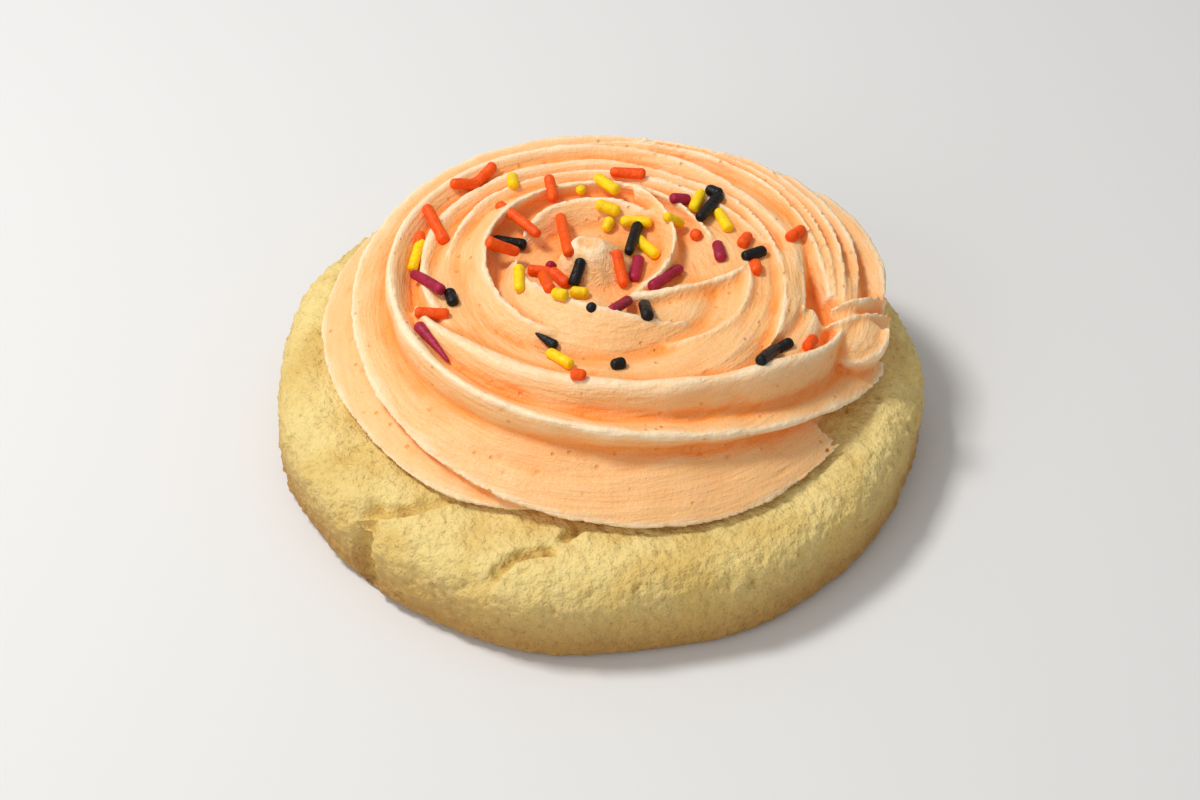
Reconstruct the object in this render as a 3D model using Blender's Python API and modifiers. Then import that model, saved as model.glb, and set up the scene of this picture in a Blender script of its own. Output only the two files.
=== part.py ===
"""Iced sugar cookie: a thick round cookie and the swirl of piped frosting on it."""

import math
from typing import NamedTuple

import bpy

MM = 0.001

COOKIE_RADIUS = 48.0  # mm, all sizes below too
COOKIE_THICK = 14.0
SHOULDER = 5.6
FOOT_ROUND = 2.2
COOKIE_DOME = 0.5
COOKIE_TURN_STEPS = 112
NOTCH_AZIMUTH = 226.0  # the rim is split here
NOTCH_HALF = 1.9
NOTCH_DEPTH = 2.6

FROSTING_CENTRE = (0.5, 3.0)
FROSTING_GAP = 0.3
FROSTING_FLOOR = 12.4
STRAND_STEP_DEG = 3.0
STRAND_LEAST_STEPS = 14
SECTION_STEPS = 7
UNION_VOXEL = 0.7
FROSTING_FACES = 5300

# The mound under the ridges, from the middle out: (radius, height).
MOUND = ((0.0, 25.2), (6.0, 25.0), (11.0, 24.8), (15.0, 25.2), (20.0, 26.2), (24.0, 26.0),
         (27.0, 24.4), (29.8, 22.0), (32.6, 19.8), (34.8, 17.2), (36.0, 12.0))


class Ridge(NamedTuple):
    """One ridge of the swirl, from its start clockwise seen from above; sizes in mm, degrees."""

    name: str
    start: float  # where it begins
    sweep: float  # how far round it runs
    radii: tuple  # from the centre to the crest, evenly spaced along it
    heights: tuple  # of the crest
    leans: tuple  # outwards from upright; below 0 it leans in
    depth: tuple  # from crest to root, at the start and the end
    width: tuple  # half the width at the root, likewise
    blunt: float = 0.62  # below 0.5 the crest is broad
    centre: tuple = FROSTING_CENTRE


RIDGES = (
    Ridge("skirt_left", 268, 175, (35.5, 39.6, 40.0, 42.0, 42.4, 41.2, 39.0),
          (14.6, 14.7, 14.9, 15.3, 16.2, 17.6, 19.6), (108, 104, 100, 92), (9, 11), (1.5, 2.4),
          blunt=0.46),
    Ridge("skirt_front", 325, 262, (40.6, 41.0, 38.8, 37.3, 36.8, 38.0, 38.4, 37.2, 36.4),
          (14.8, 14.9, 16.0, 18.3, 20.2, 21.8, 23.4, 24.4, 24.6), (112, 112, 100, 82, 64, 56, 50),
          (10, 9), (1.6, 2.4), blunt=0.46),
    Ridge("crown_outer", 351, 364,
          (42.0, 37.0, 32.9, 30.8, 30.2, 30.6, 31.6, 32.3, 31.4, 30.3, 28.6, 28.8, 29.2),
          (15.0, 20.2, 24.1, 26.0, 26.6, 26.8, 27.0, 27.1, 27.1, 27.1, 26.9, 26.5, 25.8),
          (104, 44, 22, 22, 24, 20), (11, 9), (4.2, 3.0), blunt=0.58),
    Ridge("crown_inner", 346, 152, (35.0, 31.0, 27.0, 24.8, 24.3, 25.2, 27.8),
          (23.8, 27.5, 28.4, 28.5, 28.4, 28.1, 26.8), (10, 14, 10, 6), (8, 9), (3.6, 4.4),
          blunt=0.44),
    Ridge("groove_edge", 222, 190, (23.0, 25.6, 27.8, 28.6, 28.0, 26.0, 24.5),
          (26.0, 26.2, 26.3, 26.3, 26.4, 26.6, 26.2), (24, 24, 20), (6, 6), (2.6, 2.6), blunt=0.5),
    Ridge("inner_coil", 262, 232, (13.5, 15.4, 16.8, 18.6, 19.8, 19.6, 18.2),
          (26.6, 28.0, 29.0, 29.2, 28.6, 28.0, 27.0), (-30, -34, -34, -20, 0), (8, 7), (2.4, 2.2)),
    Ridge("middle_petal", 318, 150, (15.0, 11.6, 9.8, 9.2, 9.8, 11.4, 13.0),
          (27.0, 28.6, 29.2, 29.3, 29.0, 28.4, 27.4), (-34, -46, -46, -30), (9.5, 8), (2.8, 2.4)),
    Ridge("scoop_fill", 356, 62, (12.0, 12.5, 13.0), (26.3, 26.4, 26.3), (0, 0), (5, 5),
          (6.5, 6.5), blunt=0.3),
    Ridge("tail_shelf", 350, 30, (30.2, 29.8, 29.0), (24.8, 25.2, 25.0), (0, 0), (6, 6),
          (3.2, 3.4), blunt=0.3),
    Ridge("tail_neck", 24, 40, (36.0, 35.2, 34.8), (23.4, 24.4, 23.6), (0, 0), (7, 7),
          (3.4, 3.4), blunt=0.3),
    Ridge("right_fill", 70, 96, (29.0, 29.6, 29.2, 26.6, 27.6), (25.6, 26.0, 26.3, 26.5, 26.0),
          (0, 0), (5, 5), (3.2, 3.0), blunt=0.3),
    Ridge("right_scoop", 372, 84, (21.0, 21.2, 20.4, 18.0, 15.0), (26.8, 27.0, 26.8, 26.4, 25.8),
          (24, 20), (6, 5), (2.2, 2.2)),
    Ridge("scoop_lip", 366, 58, (20.4, 14.6, 10.4, 8.2, 6.4), (26.9, 27.4, 27.6, 27.6, 27.2),
          (10, 10), (6, 5), (3.6, 3.4), blunt=0.5),
    Ridge("heart_arc", 76, 114, (19.0, 14.6, 10.4, 7.6, 6.0), (28.9, 28.5, 28.3, 27.8, 27.0),
          (14, 20), (6, 5), (2.2, 2.6)),
    Ridge("back_coil", 168, 150, (23.6, 24.6, 24.4, 23.6, 23.6, 24.8),
          (26.8, 27.4, 27.4, 27.3, 27.2, 26.6), (24, 24, 20), (5, 5), (2.6, 2.0)),
    Ridge("back_fold", 146, 84, (15.0, 16.6, 16.4, 15.6), (27.4, 28.0, 28.0, 27.4),
          (24, 24), (5, 5), (2.2, 2.2)),
    Ridge("right_fan_a", 66, 98, (26.0, 26.2, 26.0, 26.2, 27.6), (26.8, 26.9, 26.9, 26.9, 26.8),
          (16, 16), (5, 5), (1.9, 1.9)),
    Ridge("tail_top", 96, 100, (32.0, 31.8, 32.0, 32.2, 32.2, 32.0, 32.6),
          (26.8, 27.3, 27.5, 27.5, 27.3, 26.6, 24.6), (8, 12, 20), (6, 6), (1.9, 1.6)),
    Ridge("tail_rib_a", 84, 88, (33.6, 34.0, 34.0, 33.9, 33.6, 33.4),
          (26.4, 26.9, 27.1, 27.0, 26.6, 24.8), (16, 22, 28), (6, 6), (1.7, 1.5)),
    Ridge("tail_side", 70, 78, (35.2, 36.4, 36.4, 36.0, 35.4, 34.6),
          (25.0, 26.0, 26.3, 26.3, 26.0, 24.4), (28, 32, 36), (6, 6), (1.9, 1.6)),
    Ridge("tail_rib_b", 60, 66, (36.8, 38.6, 38.8, 38.6, 37.8, 36.6),
          (22.6, 24.4, 25.0, 25.0, 24.8, 23.6), (44, 46, 50), (6, 6), (1.8, 1.6)),
    Ridge("tail_foot", 52, 54, (37.4, 40.4, 41.6, 42.0, 42.0, 41.0),
          (20.5, 22.2, 23.0, 23.2, 22.8, 21.6), (56, 58, 60), (7, 7), (2.6, 2.2), blunt=0.5),
    Ridge("tail_hem", 68, 74, (38.4, 40.4, 41.4, 41.8, 41.4, 40.4),
          (17.4, 18.4, 19.0, 19.0, 18.4, 17.2), (80, 84, 84), (8, 8), (2.4, 2.2)),
    Ridge("skirt_back", 140, 150, (39.6, 40.2, 39.4, 39.6, 40.6, 41.0, 39.0),
          (14.8, 15.2, 15.6, 16.0, 16.4, 16.4, 15.4), (112, 108, 108), (9, 9), (2.4, 2.4)),
    Ridge("tail_rim", 372, 206, (5.6, 5.2, 4.6, 4.4, 4.6, 5.0, 5.2),
          (22.8, 21.8, 20.8, 20.4, 20.8, 21.8, 23.2), (36, 46, 36), (5, 5), (1.9, 1.7),
          blunt=0.45, centre=(36.1, -4.4)),
    Ridge("tail_fold", 120, 52, (9.6, 9.7, 10.4, 12.4, 15.8), (24.0, 24.6, 24.4, 23.4, 21.6),
          (-6, -6, 10), (6, 5), (1.7, 1.4), centre=(36.5, -14.0)),
    Ridge("tail_fold_high", 108, 36, (12.2, 12.8, 14.4, 17.8), (25.0, 25.4, 24.8, 23.0),
          (0, 6, 16), (5, 5), (1.5, 1.3), centre=(36.5, -14.0)),
    Ridge("centre_curl", 232, 112, (2.6, 2.9, 2.8, 2.0), (28.0, 29.3, 29.7, 29.6),
          (-22, -18, 0), (5, 4), (1.5, 1.3), centre=(-0.8, 6.9)),
)

CENTRE_PEAK = dict(at=(-0.6, 6.8), radius=5.6, base=24.6, top=31.0, curl=0.8)
TAIL_CAP = dict(at=(36.0, -4.2), reach=(5.1, 4.0, 3.3), middle=20.0)

CRACKS = (  # from, to (mm), half width, depth
    ((-33.6, -33.4), (-21.0, -30.6), 1.3, 2.4),
    ((-1.0, -33.0), (-7.0, -39.0), 1.1, 2.2),
    ((-7.0, -39.0), (-17.0, -43.6), 1.2, 2.6),
)


def clear_scene() -> None:
    """Remove every object of the startup scene."""
    for item in list(bpy.data.objects):
        bpy.data.objects.remove(item, do_unlink=True)


def along(values, t):
    """A smooth value at t in 0..1 through evenly spaced values."""
    count = len(values) - 1
    if count == 1:
        return values[0] + (values[1] - values[0]) * t
    place = min(max(t, 0.0), 1.0) * count
    i = min(int(place), count - 1)
    f = place - i
    before, after = values[max(i - 1, 0)], values[min(i + 2, count)]
    slope_a = 0.5 * (values[i + 1] - before)
    slope_b = 0.5 * (after - values[i])
    return ((2 * f**3 - 3 * f**2 + 1) * values[i] + (f**3 - 2 * f**2 + f) * slope_a
            + (3 * f**2 - 2 * f**3) * values[i + 1] + (f**3 - f**2) * slope_b)


def new_object(name, verts, faces, collection):
    """A mesh object from points in mm and faces."""
    mesh = bpy.data.meshes.new(name)
    mesh.from_pydata([tuple(c * MM for c in v) for v in verts], [], faces)
    mesh.update()
    item = bpy.data.objects.new(name, mesh)
    collection.objects.link(item)
    return item


def apply_all(item) -> None:
    """Apply the object's modifiers in order."""
    bpy.ops.object.select_all(action="DESELECT")
    bpy.context.view_layer.objects.active = item
    item.select_set(True)
    for modifier in list(item.modifiers):
        bpy.ops.object.modifier_apply(modifier=modifier.name)


def raw_outline(angle):
    """The cookie's radius at an angle: round, with a slow unevenness."""
    return (COOKIE_RADIUS + 0.55 * math.cos(2 * angle + 0.5) + 0.4 * math.cos(3 * angle - 1.1)
            + 0.28 * math.cos(7 * angle + 0.4) + 0.2 * math.cos(11 * angle))


def rim_turns():
    """The angle of each step round the rim."""
    return [2 * math.pi * i / COOKIE_TURN_STEPS for i in range(COOKIE_TURN_STEPS)]


def rim_middle():
    """The middle of the uneven rim's box, which is kept on the axis."""
    xs = [raw_outline(a) * math.cos(a) for a in rim_turns()]
    ys = [raw_outline(a) * math.sin(a) for a in rim_turns()]
    return (max(xs) + min(xs)) / 2, (max(ys) + min(ys)) / 2


def ring_point(angle, share, height):
    """A point of the cookie at a share of the radius, before the cracks."""
    mx, my = rim_middle()
    keep = min(max((share - 0.6) / 0.4, 0.0), 1.0)
    r = COOKIE_RADIUS * share + (raw_outline(angle) - COOKIE_RADIUS) * keep
    x, y = r * math.cos(angle) - mx * keep, r * math.sin(angle) - my * keep
    lift = min(height / COOKIE_THICK, 1.0) ** 2
    return x, y, height + (cookie_top(x, y) - COOKIE_THICK) * lift


def cookie_top(x, y):
    """The height of the cookie's top before the cracks."""
    r = math.hypot(x, y) / COOKIE_RADIUS
    waves = 0.25 * math.sin(x / 7.0 + 1.0) * math.sin(y / 8.0) * min(1.0, r * 1.5)
    return COOKIE_THICK + COOKIE_DOME * (1 - r * r) + waves


def crack_depth(x, y):
    """How far the surface drops into the nearest crack."""
    deepest = 0.0
    for (ax, ay), (bx, by), half, depth in CRACKS:
        dx, dy = bx - ax, by - ay
        t = min(max(((x - ax) * dx + (y - ay) * dy) / (dx * dx + dy * dy), 0.0), 1.0)
        bend = 0.6 * math.sin(7.0 * t + ax)
        away = math.hypot(x - ax - t * dx, y - ay - t * dy - bend)
        deepest = max(deepest, depth * math.exp(-((away / half) ** 2)) * (0.35 + 0.65 * (1 - t)))
    return deepest


def notch(angle):
    """How strongly the split of the rim shows at an angle, 0 to 1."""
    off = (math.degrees(angle) - NOTCH_AZIMUTH + 180.0) % 360.0 - 180.0
    arc = math.radians(off) * COOKIE_RADIUS
    return math.exp(-((arc / NOTCH_HALF) ** 2))


def cookie_profile():
    """Points (share of the radius, height) from the foot to the top."""
    inner = COOKIE_RADIUS
    points = [(0.5, 0.0), ((inner - FOOT_ROUND - 1.5) / inner, 0.0)]
    for i in range(1, 4):
        a = math.pi / 2 * i / 3
        points.append(((inner - FOOT_ROUND + FOOT_ROUND * math.sin(a)) / inner,
                       FOOT_ROUND * (1 - math.cos(a))))
    points.append((1.0, 5.4))
    for i in range(0, 6):
        a = math.pi / 2 * i / 5
        points.append(((inner - SHOULDER + SHOULDER * math.cos(a)) / inner,
                       COOKIE_THICK - SHOULDER + SHOULDER * math.sin(a)))
    points += [(share, COOKIE_THICK) for share in (0.855, 0.825, 0.795, 0.765, 0.73, 0.6)]
    return points


def make_cookie(collection):
    """The cookie: a turned disc with rounded shoulders, an uneven rim and cracks."""
    profile = cookie_profile()
    turns = rim_turns()
    verts, faces = [], []
    steps = len(turns)
    for share, height in profile:
        for angle in turns:
            x, y, z = ring_point(angle, share, height)
            split = notch(angle) * max(0.0, (share - 0.84) / 0.16) if height > 0.4 else 0.0
            pull = 1.0 - NOTCH_DEPTH * split / COOKIE_RADIUS
            if height > COOKIE_THICK * 0.75:
                z -= crack_depth(x, y) * (height / COOKIE_THICK - 0.75) / 0.25 + split
            verts.append((x * pull, y * pull, z))
    for row in range(len(profile) - 1):
        for i in range(steps):
            j = (i + 1) % steps
            a, b = row * steps, (row + 1) * steps
            faces.append((a + i, a + j, b + j, b + i))
    foot, top = len(verts), len(verts) + 1
    verts += [(0.0, 0.0, 0.0), (0.0, 0.0, cookie_top(0, 0))]
    last = (len(profile) - 1) * steps
    for i in range(steps):
        j = (i + 1) % steps
        faces.append((foot, j, i))
        faces.append((top, last + i, last + j))
    return new_object("cookie", verts, faces, collection)


def strand_section(depth, width, blunt):
    """A ridge's section: crest at (0, 0), sides that curve in, root inside."""
    steps = [(i / SECTION_STEPS) ** 2 for i in range(SECTION_STEPS + 1)]
    right = [(width * t**blunt, -depth * t) for t in steps]
    left = [(-width * t ** (blunt * 1.15), -depth * t) for t in steps[:0:-1]]
    return right + left


def make_strand(ridge, collection):
    """One ridge of the swirl as a closed bar along its spiral."""
    steps = max(STRAND_LEAST_STEPS, int(ridge.sweep / STRAND_STEP_DEG))
    cx, cy = ridge.centre
    verts, faces = [], []
    size = 0
    for k in range(steps + 1):
        t = k / steps
        azimuth = math.radians(ridge.start - ridge.sweep * t)
        radius, height = along(ridge.radii, t), along(ridge.heights, t)
        lean = math.radians(along(ridge.leans, t))
        ends = 0.25 + 0.75 * min(1.0, 7 * t) * min(1.0, 7 * (1 - t))
        section = strand_section(along(ridge.depth, t) * (0.6 + 0.4 * ends),
                                 along(ridge.width, t) * ends, ridge.blunt)
        size = len(section)
        for s, d in section:
            out = s * math.cos(lean) + d * math.sin(lean)
            up = -s * math.sin(lean) + d * math.cos(lean)
            r = radius + out
            verts.append((cx + r * math.cos(azimuth), cy + r * math.sin(azimuth),
                          max(height + up, FROSTING_FLOOR)))
    for k in range(steps):
        for i in range(size):
            j = (i + 1) % size
            faces.append((k * size + i, k * size + j, (k + 1) * size + j, (k + 1) * size + i))
    faces.append(tuple(range(size))[::-1])
    faces.append(tuple(steps * size + i for i in range(size)))
    return new_object(ridge.name, verts, faces, collection)


def make_mound(collection):
    """The solid middle of the frosting, turned from the mound's profile."""
    cx, cy = FROSTING_CENTRE
    steps = 72
    verts, faces = [(cx, cy, MOUND[0][1])], []
    for radius, height in MOUND[1:]:
        for i in range(steps):
            a = 2 * math.pi * i / steps
            verts.append((cx + radius * math.cos(a), cy + radius * math.sin(a), height))
    rows = len(MOUND) - 1
    for i in range(steps):
        j = (i + 1) % steps
        faces.append((0, 1 + i, 1 + j))
        for row in range(rows - 1):
            a, b = 1 + row * steps, 1 + (row + 1) * steps
            faces.append((a + i, b + i, b + j, a + j))
    last = 1 + (rows - 1) * steps
    faces.append(tuple(last + i for i in range(steps))[::-1])
    return new_object("mound", verts, faces, collection)


def make_peak(collection):
    """The little curled peak in the middle."""
    peak = CENTRE_PEAK
    steps, rows = 16, 6
    verts, faces = [], []
    for row in range(rows + 1):
        t = row / rows
        radius = peak["radius"] * (1 - t) ** 0.8 + 0.35
        for i in range(steps):
            a = 2 * math.pi * i / steps
            verts.append((peak["at"][0] - peak["curl"] * t * t + radius * math.cos(a),
                          peak["at"][1] + radius * math.sin(a),
                          peak["base"] + (peak["top"] - peak["base"]) * t))
    for row in range(rows):
        for i in range(steps):
            j = (i + 1) % steps
            faces.append((row * steps + i, row * steps + j, (row + 1) * steps + j,
                          (row + 1) * steps + i))
    faces.append(tuple(range(steps))[::-1])
    faces.append(tuple(rows * steps + i for i in range(steps)))
    return new_object("peak", verts, faces, collection)


def make_tail(collection):
    """The rounded end of the rope, drooping over the flat petal on the right."""
    cap = TAIL_CAP
    bpy.ops.mesh.primitive_uv_sphere_add(
        segments=24, ring_count=14, radius=1.0,
        location=(cap["at"][0] * MM, cap["at"][1] * MM, cap["middle"] * MM),
        scale=tuple(reach * MM for reach in cap["reach"]))
    item = bpy.context.object
    item.name = "tail"
    for owner in list(item.users_collection):
        owner.objects.unlink(item)
    collection.objects.link(item)
    bpy.ops.object.transform_apply(location=True, rotation=True, scale=True)
    return item


def make_cutter(collection):
    """A copy of the cookie's upper half, raised by the gap, that cuts the frosting's underside."""
    turns = rim_turns()
    steps = len(turns)
    rows = [(1.0, 0.5, FROSTING_GAP)]
    rows += [(share, z, FROSTING_GAP) for share, z in cookie_profile() if z > 6.0]
    verts, faces = [], []
    for share, height, raised in rows:
        for angle in turns:
            x, y, z = ring_point(angle, share, height)
            verts.append((x, y, z + raised))
    for row in range(len(rows) - 1):
        for i in range(steps):
            j = (i + 1) % steps
            a, b = row * steps, (row + 1) * steps
            faces.append((a + i, a + j, b + j, b + i))
    top = len(verts)
    verts.append((0.0, 0.0, cookie_top(0, 0) + FROSTING_GAP))
    last = (len(rows) - 1) * steps
    faces.append(tuple(range(steps))[::-1])
    for i in range(steps):
        faces.append((top, last + i, last + (i + 1) % steps))
    cutter = new_object("frosting_cutter", verts, faces, collection)
    cutter.hide_render = True
    cutter.display_type = "WIRE"
    return cutter


def join(items, name):
    """Join objects into the first one."""
    bpy.ops.object.select_all(action="DESELECT")
    for item in items:
        item.select_set(True)
    bpy.context.view_layer.objects.active = items[0]
    bpy.ops.object.join()
    items[0].name = name
    items[0].data.name = name
    return items[0]


def make_frosting(collection, cutters):
    """The piped swirl: its ridges, mound, peak and tail as one closed body."""
    pieces = [make_mound(collection), make_peak(collection), make_tail(collection)]
    pieces += [make_strand(ridge, collection) for ridge in RIDGES]
    frosting = join(pieces, "frosting")
    union = frosting.modifiers.new("union", "REMESH")
    union.mode = "VOXEL"
    union.voxel_size = UNION_VOXEL * MM
    smooth = frosting.modifiers.new("smooth", "SMOOTH")
    smooth.factor, smooth.iterations = 0.5, 2
    apply_all(frosting)
    thin = frosting.modifiers.new("thin", "DECIMATE")
    thin.ratio = min(1.0, FROSTING_FACES / (2.0 * len(frosting.data.polygons)))
    apply_all(frosting)
    cut = frosting.modifiers.new("cut", "BOOLEAN")
    cut.operation, cut.solver = "DIFFERENCE", "EXACT"
    cut.object = make_cutter(cutters)
    apply_all(frosting)
    return frosting


def paint(item, name, colour, roughness) -> None:
    """Give an object its own Principled material and smooth shading."""
    material = bpy.data.materials.new(name)
    material.use_nodes = True
    shader = material.node_tree.nodes["Principled BSDF"]
    shader.inputs["Base Color"].default_value = (*colour, 1.0)
    shader.inputs["Roughness"].default_value = roughness
    item.data.materials.clear()
    item.data.materials.append(material)
    bpy.ops.object.select_all(action="DESELECT")
    bpy.context.view_layer.objects.active = item
    item.select_set(True)
    bpy.ops.object.shade_smooth()


def main() -> None:
    """Build the cookie and its frosting."""
    clear_scene()
    parts = bpy.data.collections.new("iced_sugar_cookie")
    cutters = bpy.data.collections.new("cutters")
    bpy.context.scene.collection.children.link(parts)
    bpy.context.scene.collection.children.link(cutters)
    cutters.hide_render = True
    cookie = make_cookie(parts)
    frosting = make_frosting(parts, cutters)
    paint(cookie, "cookie_crumb", (0.78, 0.62, 0.30), 0.85)
    paint(frosting, "frosting_peach", (0.95, 0.55, 0.28), 0.5)


main()
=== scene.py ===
"""Iced sugar cookie: the finished look of the cookie, its piped frosting and the sprinkles."""

import logging
import math
import random
from dataclasses import dataclass, field
from enum import Enum

import bmesh
import bpy
import numpy as np
from mathutils import Euler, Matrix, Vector, noise
from mathutils.bvhtree import BVHTree


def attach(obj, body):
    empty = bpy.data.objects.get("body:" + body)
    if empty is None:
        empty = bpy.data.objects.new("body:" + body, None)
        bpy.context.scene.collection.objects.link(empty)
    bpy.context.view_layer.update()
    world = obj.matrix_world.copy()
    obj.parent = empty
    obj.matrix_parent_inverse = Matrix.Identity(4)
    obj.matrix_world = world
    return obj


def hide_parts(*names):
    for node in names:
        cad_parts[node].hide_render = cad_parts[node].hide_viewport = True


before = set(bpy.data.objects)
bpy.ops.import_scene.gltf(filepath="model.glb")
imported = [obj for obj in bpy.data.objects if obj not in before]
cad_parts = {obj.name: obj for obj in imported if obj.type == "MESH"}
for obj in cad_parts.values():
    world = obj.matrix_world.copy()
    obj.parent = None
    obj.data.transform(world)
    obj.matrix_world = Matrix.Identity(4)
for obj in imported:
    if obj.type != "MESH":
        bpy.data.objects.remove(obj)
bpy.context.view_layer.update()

LOG = logging.getLogger("iced_cookie")
MM = 0.001

COOKIE_RADIUS = 47.85  # mm, as are all the sizes below
COOKIE_THICK = 14.0
COOKIE_DOME = 0.5
SWIRL_CENTRE = (0.5, 3.0)
SPRINKLE_RADIUS = 0.86
LAYOUT_HEIGHT = 24.0  # the level plane that the sprinkles' places are given on
EYE_ELEVATION = 43.0
EYE_DISTANCE = 326.0
EYE_TARGET_HEIGHT = 7.0


class Tint(Enum):
    """The four colours of sprinkle."""

    ORANGE = "orange"
    YELLOW = "yellow"
    BLACK = "black"
    MAROON = "maroon"


def along(values: tuple[float, ...], t: float) -> float:
    """A smooth value through evenly spaced values.

    Args:
        values: the values at even steps.
        t: how far along, 0 to 1.

    Returns:
        The value there.
    """
    count = len(values) - 1
    if count == 1:
        return values[0] + (values[1] - values[0]) * t
    place = min(max(t, 0.0), 1.0) * count
    i = min(int(place), count - 1)
    f = place - i
    before, after = values[max(i - 1, 0)], values[min(i + 2, count)]
    slope_a = 0.5 * (values[i + 1] - before)
    slope_b = 0.5 * (after - values[i])
    return ((2 * f**3 - 3 * f**2 + 1) * values[i] + (f**3 - 2 * f**2 + f) * slope_a
            + (3 * f**2 - 2 * f**3) * values[i + 1] + (f**3 - f**2) * slope_b)


def linear(red: int, green: int, blue: int) -> tuple[float, float, float, float]:
    """A colour as the eye reads it, 0 to 255, turned to the shader's own scale."""
    def one(value: int) -> float:
        """One channel, from the eye's scale to the shader's."""
        share = value / 255.0
        return share / 12.92 if share <= 0.04045 else ((share + 0.055) / 1.055) ** 2.4

    return one(red), one(green), one(blue), 1.0


def deselect() -> None:
    """Nothing selected."""
    bpy.ops.object.select_all(action="DESELECT")


def make_active(item: bpy.types.Object) -> None:
    """Select only this object."""
    deselect()
    item.select_set(True)
    bpy.context.view_layer.objects.active = item


def apply_modifiers(item: bpy.types.Object) -> None:
    """Apply the object's modifiers in order."""
    make_active(item)
    for modifier in list(item.modifiers):
        bpy.ops.object.modifier_apply(modifier=modifier.name)


def object_of(name: str, grid: bmesh.types.BMesh) -> bpy.types.Object:
    """A new object holding this mesh, in metres.

    Args:
        name: the object's name.
        grid: the mesh, freed here.

    Returns:
        The object, linked to the scene.
    """
    mesh = bpy.data.meshes.new(name)
    grid.to_mesh(mesh)
    grid.free()
    item = bpy.data.objects.new(name, mesh)
    bpy.context.scene.collection.objects.link(item)
    return item


def joined(items: list[bpy.types.Object], name: str) -> bpy.types.Object:
    """Several objects joined into the first.

    Args:
        items: the objects.
        name: the name of the result.

    Returns:
        The joined object.
    """
    make_active(items[0])
    for item in items:
        item.select_set(True)
    bpy.ops.object.join()
    items[0].name = name
    items[0].data.name = name
    return items[0]


def points_of(item: bpy.types.Object) -> np.ndarray:
    """The object's vertices in mm."""
    flat = np.empty(len(item.data.vertices) * 3, np.float32)
    item.data.vertices.foreach_get("co", flat)
    return flat.reshape(-1, 3).astype(np.float64) / MM


def set_points(item: bpy.types.Object, points: np.ndarray) -> None:
    """Move the object's vertices to these places in mm."""
    item.data.vertices.foreach_set("co", (points * MM).astype(np.float32).ravel())
    item.data.update()


def normals_of(item: bpy.types.Object) -> np.ndarray:
    """The object's vertex normals."""
    flat = np.empty(len(item.data.vertices) * 3, np.float32)
    item.data.vertex_normals.foreach_get("vector", flat)
    return flat.reshape(-1, 3).astype(np.float64)


def relaxed(item: bpy.types.Object, points: np.ndarray, rounds: int) -> np.ndarray:
    """The points, each moved to the mean of its neighbours this many times.

    Args:
        item: the object whose edges say who the neighbours are.
        points: the places to start from.
        rounds: how many times.

    Returns:
        The relaxed places.
    """
    ends = np.empty(len(item.data.edges) * 2, np.int32)
    item.data.edges.foreach_get("vertices", ends)
    a, b = ends.reshape(-1, 2).T
    count = len(points)
    near = np.maximum(np.bincount(a, minlength=count) + np.bincount(b, minlength=count), 1)
    result = points.copy()
    for _ in range(rounds):
        total = np.empty_like(result)
        for axis in range(3):
            column = result[:, axis]
            total[:, axis] = (np.bincount(a, weights=column[b], minlength=count)
                              + np.bincount(b, weights=column[a], minlength=count))
        result = 0.5 * result + 0.5 * total / near[:, None]
    return result


def hollowness(item: bpy.types.Object, rounds: int) -> np.ndarray:
    """How far each point lies in a hollow, in mm; negative on a crest."""
    points = points_of(item)
    return ((relaxed(item, points, rounds) - points) * normals_of(item)).sum(axis=1)


def keep_value(item: bpy.types.Object, name: str, values: np.ndarray) -> None:
    """Keep a number on each vertex, for the materials to read."""
    layer = item.data.attributes.new(name, "FLOAT", "POINT")
    layer.data.foreach_set("value", values.astype(np.float32))


def grain(points: np.ndarray, scale: float, seed: float) -> np.ndarray:
    """Smooth noise at each point.

    Args:
        points: places in mm.
        scale: the size of a lump in mm.
        seed: shifts the pattern.

    Returns:
        Values from about -1 to 1.
    """
    shift = Vector((seed, seed * 1.7, -seed))
    return np.array([noise.noise(Vector(p) / scale + shift) for p in points])


def cells(points: np.ndarray, scale: float, seed: float) -> np.ndarray:
    """Distance to the nearest of scattered spots, in spot spacings."""
    shift = Vector((seed, -seed, seed * 0.6))
    return np.array([noise.voronoi(Vector(p) / scale + shift)[0][0] for p in points])


@dataclass(frozen=True)
class Ridge:
    """One ridge of the swirl, running clockwise. Values are at even steps along it."""

    name: str
    start: float
    sweep: float
    radii: tuple[float, ...]
    heights: tuple[float, ...]
    leans: tuple[float, ...]
    depth: tuple[float, float]
    width: tuple[float, float]
    blunt: float = 0.62
    centre: tuple[float, float] = SWIRL_CENTRE


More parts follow.
